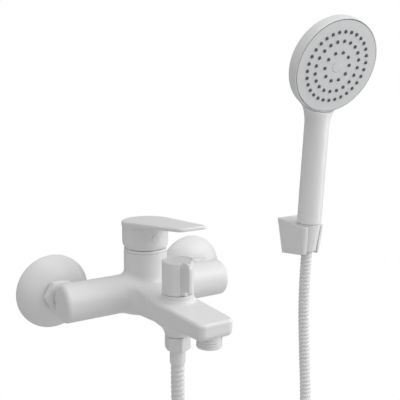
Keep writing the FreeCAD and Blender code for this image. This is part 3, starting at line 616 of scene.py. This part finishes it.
def buildHose():
    line = smoothLine(hoseRoute())
    spacing = hose["ribPitch"] / 9
    points, along = evenly(line, spacing)
    first, second = carriedFrames(points)
    phase = (along / hose["ribPitch"]) % 1.0
    groove = np.exp(-((phase - 0.5) / hose["grooveShare"]) ** 2)  # narrow dip once in each pitch
    crown = hose["crown"] * np.cos(2 * np.pi * phase)
    radius = hose["radius"] - hose["ribDepth"] * groove + crown - hose["crown"]
    sides = hose["sides"]
    angle = fullTurn(sides)
    ringX = (radius[:, None] * np.cos(angle))[..., None] * first[:, None, :]
    ringY = (radius[:, None] * np.sin(angle))[..., None] * second[:, None, :]
    rings = points[:, None, :] + ringX + ringY
    rings = np.concatenate([np.repeat(points[:1, None, :], sides, axis=1), rings,
                            np.repeat(points[-1:, None, :], sides, axis=1)])
    mesh = fillMesh("showerHose", rings.reshape(-1, 3), gridFaces(len(rings), sides))
    mergeDoubles(mesh)
    piece = addPiece(mesh, "hoseSleeve", None, "hose_lead_left", "hose_coil", "hose_lead_right")
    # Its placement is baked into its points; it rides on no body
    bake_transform(piece)
    path = points[::4] * mm
    path = np.concatenate([path, points[-1:] * mm])
    print("hose length", round(along[-1], 1), "mm")
    return piece, path, along[-1] * mm


def buildTie():
    # A flat strap: a rounded box outline in Y and Z round the strands, of that width along X, with its head
    tie = {"width": 7.0, "thickness": 1.4, "play": 0.6, "rounding": 5.0, "headHalf": 5.0, "headDepth": 3.6}
    middleX, middleZ = hose["coilMiddle"]
    low = middleZ - hose["coilRadius"]
    y0 = hose["coilFront"] - hose["radius"] - tie["play"]
    y1 = hose["coilBack"] + hose["radius"] + tie["play"]
    z0 = low - hose["radius"] - tie["play"]
    z1 = low + hose["radius"] + tie["play"]

    def strap(x, y, z):
        inner = roundMax(within(y, y0, y1), within(z, z0, z1), tie["rounding"])
        outer = inner - tie["thickness"]
        band = roundMax(outer, -inner, 0.3)
        band = roundMax(band, within(x, middleX - tie["width"] / 2, middleX + tie["width"] / 2), 0.4)
        headY = within(y, y0 - tie["headDepth"], y0 + 0.3)
        headZ = within(z, low - 4.5, low + 3.5)
        headX = within(x, middleX - tie["headHalf"], middleX + tie["headHalf"])
        head = roundMax(roundMax(headX, headZ, 1.2), headY, 0.8)
        return np.minimum(band, head)

    mesh = fieldMesh("hoseTie", strap, (middleX - 8, y0 - 6, z0 - 4), (middleX + 8, y1 + 4, z1 + 4), 0.6)
    return addPiece(mesh, "greyPlastic", "mixer", "hose_tie")


hosePiece, hosePath, hoseLength = buildHose()
tiePiece = buildTie()

# Inlets
inlet = {
    "rosetteRadius": 34.6,
    "rosetteDepth": 17.2,
    "unionRadius": 12.0,
    "play": 0.25,
    "nutFlats": 27.0,
    "nutBack": 18.2,
    "nutFront": 27.0,
}


def nutMesh(name, flats, length, bores, base, axis, turn=0.0, trim=0.09, step=10):
    # Outer radius = the lesser of a hexagon's and of a cone from each end, blended over 0.5; rows run from
    # the low bore out over that end, along the side and back over the other end into the high bore
    sides = 6 * step
    angle = fullTurn(sides)
    corner = (angle + np.pi / 6) % (np.pi / 3) - np.pi / 6
    hexagon = flats / 2 / np.cos(np.pi / 6 - np.abs(corner))
    ends = 0.55 * trim * flats
    rise = np.concatenate([np.linspace(0, ends, 7), [ends * 1.3, length / 2]])
    rise = np.concatenate([rise, (length - rise[:-1])[::-1]])
    allowed = flats / 2 - 0.05 + np.minimum(rise, length - rise) / 0.55
    outer = softUnion(hexagon[None, :], allowed[:, None], 0.5)
    share = np.array([0.0, 0.04, 0.5, 0.96])
    lowBore, highBore, shoulder = bores
    low = lowBore + share[:, None] * (outer[:1] - lowBore)
    high = highBore + share[::-1, None] * (outer[-1:] - highBore)
    inner = np.broadcast_to(np.array([[highBore], [lowBore]]), (2, sides))
    radius = np.concatenate([low, outer, high, inner])
    height = np.concatenate([np.zeros(4), rise, np.full(4, length), np.full(2, shoulder)])
    height[0] += 0.25
    height[-3] -= 0.25
    points = sweep(radius, height[:, None], angle + math.radians(turn))
    return fillMesh(name, placed(points, base, axis), gridFaces(len(radius), sides, True))


def buildInlets():
    drop = placing["inletDrop"]
    for side, x in (("left", -placing["inletSpacing"] / 2), ("right", placing["inletSpacing"] / 2)):
        wallPoint = np.array([x, 0, -drop])
        hole = inlet["unionRadius"] + inlet["play"]
        outer = inlet["rosetteRadius"]
        depth = inlet["rosetteDepth"]
        dome = [(outer - 1.3, 0.0, 0.3), (outer, 0.0, 0.4), (outer, 2.2, 0.8)]
        dome += [(radius, height, 0) for radius, height in
                 ((33.6, 4.1), (32.2, 6.2), (30.4, 8.5), (28.4, 10.6), (26.0, 12.5), (23.2, 14.3),
                  (20.2, 15.7), (17.6, 16.6))]
        dome += [(14.5, depth, 0.5), (hole, depth, 0.4), (hole, depth - 1.3, 0.3), (14.2, depth - 1.4, 0)]
        dome += [(20.0, 14.2, 0), (24.6, 11.6, 0), (28.6, 8.3, 0), (31.6, 4.6, 0), (33.2, 1.6, 0)]
        mesh = latheMesh("wallRosette_" + side, dome, wallPoint, outward, ring=True, sides=160)
        addPiece(mesh, "whiteCoat", "mixer", "wall_rosette_" + side)
        length = inlet["nutFront"] - inlet["nutBack"]
        mesh = nutMesh("unionNut_" + side, inlet["nutFlats"], length, (10.55, 8.6, 6.2),
                       np.array([x, -inlet["nutBack"], 0]), outward)
        addPiece(mesh, "whiteCoat", "mixer", "union_nut_" + side)


buildInlets()

# Mixer body
body = {
    "armRadius": 17.5,
    "armHalf": 84.0,
    "armEndRounding": 4.2,
    "towerRadius": 20.0,
    "towerTop": 38.4,
    "towerBlend": 5.5,
    "spoutBlend": 11.0,
    "spoutReach": 166.0,
    "spoutHalfBack": 20.0,
    "spoutHalfFront": 17.0,
    "spoutTop": 6.0,
    "topFall": 0.4,  # from the bar to the tip
    "hump": 3.2,  # extra height of the spout near the bar, fading over this span of Y
    "humpSpan": (-94.0, -62.0),
    "spoutLow": -18.5,
    "lowRise": 9.5,  # from the bar to the tip
    "spoutCorner": 6.5,
    "topRounding": 2.7,
    "lowRounding": 5.0,
    "bossTopRadius": 15.5,
    "bossLowRadius": 11.0,
    "bossLow": -24.8,
    "bossRise": 14.0,
    "bossBlend": 7.0,
    "moundRadius": 14.6,  # raised seat under the diverter's ring
    "moundTop": 9.4,
    "moundBlend": 5.0,
    "cartridgeBore": 17.4,  # radii of the bores, and where each ends
    "cartridgeFloor": 13.5,
    "chamberBore": 9.0,
    "chamberFloor": -4.0,
    "nippleBore": 8.35,
    "nippleTop": -17.8,
    "aeratorBore": 10.7,
    "aeratorTop": -8.2,
    "inletBore": 8.55,
    "inletEnd": 12.0,  # this much behind the bar's axis
    "boreRounding": 0.35,
}


def bodyField(x, y, z):
    # Arm, tower, spout and outlet boss in soft union, less the bores for the cartridge and the fittings
    barY = placing["barAxis"]
    armRound = np.hypot(y - barY, z) - body["armRadius"]
    arm = roundMax(armRound, np.abs(x) - body["armHalf"], body["armEndRounding"])
    towerRound = np.hypot(x, y - barY)
    tower = roundMax(towerRound - body["towerRadius"], z - body["towerTop"], 0.6)
    tower = np.maximum(tower, -z)
    share = np.clip((y - barY) / (-body["spoutReach"] - barY), -0.2, 1.1)
    half = body["spoutHalfBack"] + (body["spoutHalfFront"] - body["spoutHalfBack"]) * share
    plan = roundMax(np.abs(x) - half, -y - body["spoutReach"], body["spoutCorner"])
    top = body["spoutTop"] + body["hump"] * between(y, *body["humpSpan"]) - body["topFall"] * share
    low = body["spoutLow"] + body["lowRise"] * share
    spout = roundMax(plan, z - top, body["topRounding"])
    spout = roundMax(spout, (low - z) * 0.997, body["lowRounding"])
    spout = np.maximum(spout, y - barY)
    shape = softUnion(arm, tower, body["towerBlend"])
    shape = softUnion(shape, spout, body["spoutBlend"])
    outlet = np.hypot(x, y - placing["outletAxis"])
    rise = (z - body["bossLow"]) / body["bossRise"]
    flare = body["bossLowRadius"] + (body["bossTopRadius"] - body["bossLowRadius"]) * np.clip(rise, 0, 1)
    boss = roundMax((outlet - flare) * 0.95, body["bossLow"] - z, 0.5)
    boss = np.maximum(boss, z)
    shape = softUnion(shape, boss, body["bossBlend"])
    mound = np.maximum(roundMax(outlet - body["moundRadius"], z - body["moundTop"], 0.8), -z)
    shape = softUnion(shape, mound, body["moundBlend"])
    aerator = np.hypot(x, y - placing["aeratorAxis"])
    bores = [
        np.maximum(towerRound - body["cartridgeBore"], body["cartridgeFloor"] - z),
        np.maximum(outlet - body["chamberBore"], body["chamberFloor"] - z),
        np.maximum(outlet - body["nippleBore"], z - body["nippleTop"]),
        np.maximum(aerator - body["aeratorBore"], z - body["aeratorTop"]),
        np.maximum(np.hypot(np.abs(x) - placing["inletSpacing"] / 2, z) - body["inletBore"],
                   barY + body["inletEnd"] - y),
    ]
    for bore in bores:
        shape = roundMax(shape, -bore, body["boreRounding"])
    return shape


mesh = fieldMesh("mixerBody", bodyField, (-87, -169, -28), (87, -22, 41), 1.0)
addPiece(mesh, "whiteCoat", "mixer", "mixer_body")

trimRing = [(12.0, 38.5, 0.2), (19.8, 38.5, 0.5), (19.8, 41.2, 0.7), (12.0, 41.2, 0.5)]
mesh = latheMesh("trimRing", trimRing, (0, placing["barAxis"], 0), ring=True, sides=160)
addPiece(mesh, "whitePlastic", "mixer", "trim_ring")

# Lever
lever = {
    "skirtRadius": 21.3,
    "skirtLow": 41.7,
    "skirtBore": 18.0,
    "roof": 57.0,
    "plateRadius": 21.7,
    "tipWidth": 27.0,
    "tipCorner": 5.0,
    "reach": 85.5,  # tower axis to the tip
    "topBack": 65.6,
    "topTip": 75.8,
    "lowBack": 60.0,
    "lowTip": 72.9,
    "crown": 0.9,  # drop of the plate's long edges below its middle
    "topRounding": 1.6,
    "lowRounding": 0.9,
    "tuck": 1.6,  # how far the skirt draws in at its foot, over this height
    "tuckHeight": 6.0,
    "bossRadius": 7.6,
    "bossLow": 48.0,
    "socketHalf": 4.05,
    "capHeight": 53.0,
    "seatRadius": 3.9,  # a little less than the cap's, which hides its edge
    "seatFloor": 18.7,
    "screwRadius": 2.5,
    "reliefHeight": 11.8,  # of the clearance for the tower, above the pivot at full lift
    "pivot": 30.0,
    "lift": 20.0,
}


def leverField(x, y, z):
    # A plate over a round skirt; the plate's outline is a circle drawn out to a narrower, rounded tip
    forward = placing["barAxis"] - y
    wide = np.abs(x)
    radius = lever["plateRadius"]
    lean = math.asin((radius - lever["tipWidth"] / 2) / lever["reach"])
    alongSide = forward * math.cos(lean) - wide * math.sin(lean)
    circle = np.hypot(x, forward) - radius
    line = wide * math.cos(lean) + forward * math.sin(lean) - radius
    plan = np.where(alongSide < 0, circle, line)
    plan = roundMax(plan, forward - lever["reach"], lever["tipCorner"])
    share = (forward + radius) / (lever["reach"] + radius)
    top = lever["topBack"] + (lever["topTip"] - lever["topBack"]) * share
    top = top + 0.3 - lever["crown"] * (wide / radius) ** 2
    low = lever["lowBack"] + (lever["lowTip"] - lever["lowBack"]) * share
    plate = roundMax(plan, z - top, lever["topRounding"])
    plate = roundMax(plate, low - z, lever["lowRounding"])
    round_ = np.hypot(x, forward)
    tuck = lever["tuck"] * np.clip(1 - (z - lever["skirtLow"]) / lever["tuckHeight"], 0, 1) ** 2
    skirt = roundMax((round_ - lever["skirtRadius"] + tuck) * 0.97, lever["skirtLow"] - z, 0.5)
    skirt = np.maximum(skirt, z - top + 1.5)
    shape = softUnion(plate, skirt, 1.2)
    bore = np.maximum(round_ - lever["skirtBore"], z - lever["roof"])
    shape = roundMax(shape, -bore, 0.4)
    boss = np.maximum(round_ - lever["bossRadius"], lever["bossLow"] - z)
    boss = np.maximum(boss, z - lever["roof"] - 1)
    shape = np.minimum(shape, boss)
    socket = np.maximum(wide, np.abs(forward)) - lever["socketHalf"]
    socket = np.maximum(socket, z - lever["roof"] + 0.5)
    shape = np.maximum(shape, -socket)
    seat = np.hypot(x, z - lever["capHeight"])
    shape = np.maximum(shape, -np.maximum(seat - lever["seatRadius"], lever["seatFloor"] - forward))
    shape = np.maximum(shape, -np.maximum(seat - lever["screwRadius"], -forward))
    tilt = math.radians(lever["lift"] + 1.0)
    relief = (z - lever["pivot"]) * math.cos(tilt) + forward * math.sin(tilt) - lever["reliefHeight"]
    return roundMax(shape, -relief, 0.3)


mesh = fieldMesh("handleLever", leverField, (-25, -133, 40), (25, -20, 80), 0.75)
addPiece(mesh, "whiteCoat", "lever", "handle_lever")
indexCap = [(0, 0, 0), (4.24, 0, 0.2), (4.24, 2.75, 0.3), (3.2, 3.15, 0.4), (0, 3.35, 0)]
capBase = (0, placing["barAxis"] - lever["skirtBore"] - 0.75, lever["capHeight"])
mesh = latheMesh("indexCap", indexCap, capBase, outward, sides=64)
addPiece(mesh, "whitePlastic", "lever", "handle_index_cap")

# Diverter
diverter = {
    "radius": 13.9,
    "low": 13.6,
    "top": 42.4,
    "dishRadius": 12.3,
    "dishDepth": 0.5,
    "ribReach": 22.0,
    "ribThickness": 4.2,
    "ribRise": 4.0,  # foot of the rib above the foot of the knob
    "ribCorner": 5.5,
    "ribStart": 10.5,
    "groove": 1.7,
    "grooveOut": 1.3,  # its middle, out from the rib's side
    "grooveIn": 0.4,  # and in from the knob's edge
    "underRadius": 11.6,  # hollow under the knob
    "underDepth": 1.6,
    "ringTop": 13.2,
}


def knobField(x, y, z):
    # A round cap with a dished top and a rib out past its front, a groove down each side of the rib
    forward = placing["outletAxis"] - y
    wide = np.abs(x)
    round_ = np.hypot(x, forward)
    low, top = diverter["low"], diverter["top"]
    cap = roundMax(round_ - diverter["radius"], z - top, 0.9)
    cap = roundMax(cap, low - z, 0.5)
    dish = roundMax(round_ - diverter["dishRadius"], top - diverter["dishDepth"] - z, 0.2)
    cap = roundMax(cap, -dish, 0.35)
    half = diverter["ribThickness"] / 2
    grooveY = forward - diverter["radius"] + diverter["grooveIn"]
    groove = np.hypot(wide - half - diverter["grooveOut"], grooveY) - diverter["groove"]
    cap = roundMax(cap, -groove, 0.4)
    side = roundMax(forward - diverter["ribReach"], z - top - 0.3, diverter["ribCorner"])
    side = roundMax(side, low + diverter["ribRise"] - z, 1.6)
    rib = roundMax(wide - half, side, 1.3)
    rib = roundMax(rib, diverter["ribStart"] - forward, 0.5)
    shape = softUnion(cap, rib, 0.8)
    under = np.maximum(round_ - diverter["underRadius"], z - low - diverter["underDepth"])
    return roundMax(shape, -under, 0.3)


mesh = fieldMesh("diverterKnob", knobField, (-17, -128, 12), (17, -87, 45), 0.4)
addPiece(mesh, "whiteCoat", "diverter", "diverter_knob")
ringTop = diverter["ringTop"]
baseRing = [(9.0, 6.0, 0.2), (14.0, 6.0, 0.2), (14.0, ringTop, 0.5), (9.0, ringTop, 0.4)]
mesh = latheMesh("diverterBaseRing", baseRing, (0, placing["outletAxis"], 0), ring=True)
addPiece(mesh, "whiteCoat", "mixer", "diverter_base_ring")

# Aerator
aerator = {"radius": 10.6, "low": -18.4, "seat": -8.2, "throat": 7.6, "grooves": 3}


def buildAerator():
    low, radius = aerator["low"], aerator["radius"]
    corners = [(aerator["throat"], low, 0.3), (radius, low, 0.5)]
    for groove in range(aerator["grooves"]):
        height = low + 2.2 + 2.4 * groove
        corners += [(radius, height, 0.15), (radius - 0.6, height + 0.15, 0.1),
                    (radius - 0.6, height + 0.75, 0.1), (radius, height + 0.9, 0.15)]
    corners += [(radius, aerator["seat"], 0.3), (9.55, aerator["seat"], 0.1), (9.55, -3.0, 0.2),
                (8.4, -3.0, 0.2), (8.4, low + 1.2, 0.1), (aerator["throat"], low + 1.2, 0.2)]
    mesh = latheMesh("aeratorRing", corners, (0, placing["aeratorAxis"], 0), ring=True)
    addPiece(mesh, "whiteCoat", "mixer", "aerator_ring")


buildAerator()

# Hose ends
hoseEnds = {"nutFlats": 20.2, "nutTop": -25.3, "nutLow": -37.8, "ferruleRadius": 7.0, "ferruleLow": -52.0}


def buildHoseEnds():
    outlet = np.array([0, placing["outletAxis"], 0])
    length = hoseEnds["nutTop"] - hoseEnds["nutLow"]
    mesh = nutMesh("hoseNut", hoseEnds["nutFlats"], length, (6.1, 8.4, 1.3), outlet + up * hoseEnds["nutLow"],
                   up, 17.0)
    addPiece(mesh, "whiteCoat", "mixer", "hose_nut")
    radius, low = hoseEnds["ferruleRadius"], hoseEnds["ferruleLow"]
    lower = [(4.0, -35.2, 0.2), (8.2, -35.2, 0.2), (8.2, -36.4, 0.2), (6.0, -36.5, 0.2), (6.0, -38.6, 0.2),
             (radius, -39.0, 0.4), (radius, low + 2.0, 0.5), (radius - 0.6, low, 0.4), (4.0, low, 0.2)]
    mesh = latheMesh("hoseFerruleLower", lower[::-1], outlet, ring=True)
    addPiece(mesh, "whiteCoat", "mixer", "hose_ferrule_lower")
    upper = [(4.0, -13.0, 0.2), (9.6, -13.0, 0.2), (9.6, -14.5, 0.2), (6.8, -14.5, 0.2), (6.8, -31.0, 0.4),
             (4.0, -31.0, 0.2)]
    mesh = latheMesh("hoseFerruleUpper", upper[::-1], foot, handleAxis, ring=True)
    addPiece(mesh, "whiteCoat", "hose_end", "hose_ferrule_upper")


buildHoseEnds()

# Hand shower
shower = {
    "handleRadius": 13.2,
    "handleLength": 132.2,
    "headRadius": 49.9,
    "dome": 16.5,  # depth of the head's rounded back
    "rimBack": -10.5,
    "neckBlend": 17.0,
    "seam": -7.0,  # the shell ends here and the rim begins, in front of it
    "rimProud": 0.08,
    "neckGroove": 0.35,  # between the neck and the rim
    "throatRadius": 10.5,
    "throatTop": 12.0,
    "lipInside": 48.75,
    "rimHidden": 46.5,  # inner radius of the rim, behind the spray face
    "faceTilt": 16.8,
    "faceForward": 25.3,
    "faceHeight": 169.5,
    "rings": ((36.2, 30, 92.2), (26.5, 20, 89.1), (15.1, 10, 79.2)),  # radius, count, first angle
}


def turnAbout(axis, degrees):
    return np.array(Matrix.Rotation(math.radians(degrees), 3, axis))


handTurn = turnAbout("X", placing["lean"]) @ turnAbout("Z", placing["turn"])
headTurn = turnAbout("X", 90 + shower["faceTilt"])
headMiddle = np.array([0, -shower["faceForward"], shower["faceHeight"]])


def fromHand(points, normals=None):
    # Out of the handle's own frame: turned by the hand's turn and moved to the foot of the handle
    moved = points @ handTurn.T + foot
    return moved if normals is None else (moved, normals @ handTurn.T)


def fromHead(points, normals=None):
    moved = fromHand(points @ headTurn.T + headMiddle)
    return moved if normals is None else (moved, normals @ headTurn.T @ handTurn.T)


def showerField(x, y, z):
    # A capped handle and a head in soft union; the head is a cylinder with half an ellipsoid for its back
    reach = np.stack([x - headMiddle[0], y - headMiddle[1], z - headMiddle[2]])
    a, b, ahead = np.tensordot(headTurn.T, reach, axes=1)
    round_ = np.hypot(a, b)
    radius, dome = shower["headRadius"], shower["dome"]
    behind = np.minimum(ahead - shower["rimBack"], 0)
    k0 = np.hypot(round_ / radius, behind / dome)
    k1 = np.maximum(np.hypot(round_ / radius ** 2, behind / dome ** 2), 1e-6)
    head = k0 * (k0 - 1) / k1
    head = roundMax(head, ahead - shower["seam"], 0.15)
    handleRound = np.hypot(x, y)
    topped = np.hypot(handleRound, np.maximum(z - shower["handleLength"], 0))
    handle = roundMax(topped - shower["handleRadius"], 0.2 - z, 0.8)
    shape = softUnion(head, handle, shower["neckBlend"])
    frontCut = np.maximum(round_ - shower["headRadius"] - shower["neckGroove"], shower["seam"] - ahead)
    shape = roundMax(shape, -frontCut, 0.3)
    throat = np.maximum(handleRound - shower["throatRadius"], z - shower["throatTop"])
    return roundMax(shape, -throat, 0.3)


def rimSurface():
    # A closed profile carried round the head's axis: its outside is a quarter ellipse that starts flush
    # with the shell and ends at the lip, its inside a step that the spray face stands in
    turn = np.linspace(0, np.pi / 2, 14)
    radius, inside, seam = shower["headRadius"] + shower["rimProud"], shower["lipInside"], shower["seam"]
    hidden = shower["rimHidden"]
    back, front = seam + 0.6, -0.2
    crest = inside + 0.5
    curve = np.column_stack([crest + (radius - crest) * np.cos(turn), back + (front - back) * np.sin(turn)])
    start = np.array([[hidden, seam - 0.9], [radius - 0.3, seam - 0.9], [radius - 0.05, seam - 0.86],
                      [radius, seam - 0.78]])
    end = np.array([[inside + 0.2, front], [inside + 0.05, front - 0.12], [inside, front - 0.4],
                    [inside, -2.8], [hidden, -2.9]])
    rim = np.concatenate([start, curve, end])
    angle = fullTurn(256)
    along = np.roll(rim, -1, axis=0) - np.roll(rim, 1, axis=0)
    along /= np.linalg.norm(along, axis=1)[:, None]
    points, normals = fromHead(sweep(rim[:, :1], rim[:, 1:], angle),
                               sweep(along[:, 1:], -along[:, :1], angle))
    return points, facingOut(points, gridFaces(len(rim), len(angle), True)), normals


def buildShowerShell():
    points, faces, normals = fieldSurface(showerField, (-54, -48, -3), (54, 30, 226), 1.1, fromHand)
    rimPoints, rimFaces, rimNormals = rimSurface()
    mesh = fillMesh("showerShell", np.concatenate([points, rimPoints]),
                    np.concatenate([faces, rimFaces + len(points)]), np.concatenate([normals, rimNormals]))
    addPiece(mesh, "whitePlastic", "hand_shower", "shower_shell")


buildShowerShell()


def nozzleTips():
    # A small tapering tube with a collar and a rounded lip, repeated at every place of the rings
    places = []
    for radius, count, first in shower["rings"]:
        angle = math.radians(first) + np.arange(count) * 2 * math.pi / count
        places.append(np.column_stack([radius * np.cos(angle), radius * np.sin(angle), np.zeros(count)]))
    places = np.concatenate(places)
    profile = roundedProfile([(0, -3.0, 0), (1.5, -3.0, 0.1), (1.5, -0.2, 0.1), (1.95, -0.1, 0.04),
                              (1.85, 0.35, 0.12), (1.2, 1.3, 0.4), (0.5, 1.3, 0.15), (0.4, 0.6, 0.1),
                              (0, 0.6, 0)], 2)
    angle = fullTurn(16)
    tip = sweep(profile[:, :1], profile[:, 1:], angle)
    points = (places[:, None, :] + tip[None]).reshape(-1, 3)
    one = gridFaces(len(profile), len(angle))
    faces = (one[None] + (np.arange(len(places)) * len(tip))[:, None, None]).reshape(-1, 4)
    return fillMesh("nozzleTips", fromHead(points), faces)


mesh = nozzleTips()
mergeDoubles(mesh)
addPiece(mesh, "nozzleRubber", "hand_shower")
centreCap = [(0, -1.1, 0), (6.0, -1.1, 0.1), (6.0, 0.02, 0.2), (5.2, 0.3, 0.3), (0, 0.42, 0)]
mesh = latheMesh("centreCap", centreCap, place=fromHead, sides=96)
addPiece(mesh, "facePlastic", "hand_shower", "face_centre_cap")
coneNut = [(6.95, -31.0, 0.3), (9.8, -31.0, 0.6), (13.0, -0.1, 0.6), (10.6, -0.1, 0.3), (10.6, -14.4, 0.2),
           (9.8, -16.4, 0.2), (6.95, -16.6, 0.2)]
mesh = latheMesh("coneNut", coneNut, foot, handleAxis, ring=True)
addPiece(mesh, "whiteCoat", "hand_shower", "cone_nut")

# Bracket
bracket = {
    "middle": 207.4,
    "halfTop": 15.0,
    "halfLow": 12.4,
    "cornerRounding": 4.5,
    "edgeRounding": 1.0,
    "slotHalf": 7.3,
    "play": 0.3,
    "top": 40.4,
    "height": 39.9,
    "coneTop": 13.0,  # radii of the cone nut that stands in the seat, and its length
    "coneLow": 9.8,
    "coneRun": 30.9,
    "backLean": 0.16541,  # of the back, in Y for each unit down
    "tailHalf": 3.65,  # the dovetail's half width at the back, its widening and its depth
    "tailFlare": 0.476,
    "tailDepth": 3.15,
    "tailTop": 31.2,
    # Y and Z of the side view: top back, low back, low front, top front
    "side": ((0.0, 40.4), (-6.6, 0.5), (-42.2, 5.2), (-46.0, 37.0)),
}
leanTurn = turnAbout("X", placing["lean"])


def forkField(x, y, z):
    # Four sloping planes give the side view and two more the front view; a cone and a slot are cut out
    wide = np.abs(x - bracket["middle"])
    planes = []
    outline = bracket["side"]
    for k in range(4):
        (y0, z0), (y1, z1) = outline[k], outline[(k + 1) % 4]
        length = math.hypot(y1 - y0, z1 - z0)
        planes.append(((z - z0) * (y1 - y0) - (y - y0) * (z1 - z0)) / length)
    back, lower, front, upper = planes
    slope = (bracket["halfTop"] - bracket["halfLow"]) / bracket["height"]
    flank = (wide - bracket["halfTop"] + slope * (bracket["top"] - z)) * 0.997
    plan = roundMax(flank, front, bracket["cornerRounding"])
    plan = roundMax(plan, back, 0.5)
    shape = roundMax(plan, upper, bracket["edgeRounding"])
    shape = roundMax(shape, lower, bracket["edgeRounding"])
    local = np.tensordot(leanTurn.T, np.stack([x - foot[0], y - foot[1], z - foot[2]]), axes=1)
    taper = (bracket["coneTop"] - bracket["coneLow"]) / bracket["coneRun"]
    seatRadius = bracket["coneLow"] + bracket["play"] + taper * (local[2] + coneLength)
    seat = (np.hypot(local[0], local[1]) - seatRadius) * 0.994
    shape = roundMax(shape, -seat, 0.6)
    slot = np.maximum(np.abs(local[0]) - bracket["slotHalf"], local[1])
    shape = roundMax(shape, -slot, 0.8)
    depth = -(y + bracket["backLean"] * (bracket["top"] - z))
    tail = wide - bracket["tailHalf"] - bracket["tailFlare"] * np.clip(depth, 0, 3.2)
    tail = np.maximum(np.maximum(tail, depth - bracket["tailDepth"]), z - bracket["tailTop"])
    return np.maximum(shape, -tail)


mesh = fieldMesh("bracketFork", forkField, (190, -49, -2), (225, 3, 43), 0.6)
addPiece(mesh, "whiteCoat", "mixer", "bracket_fork")
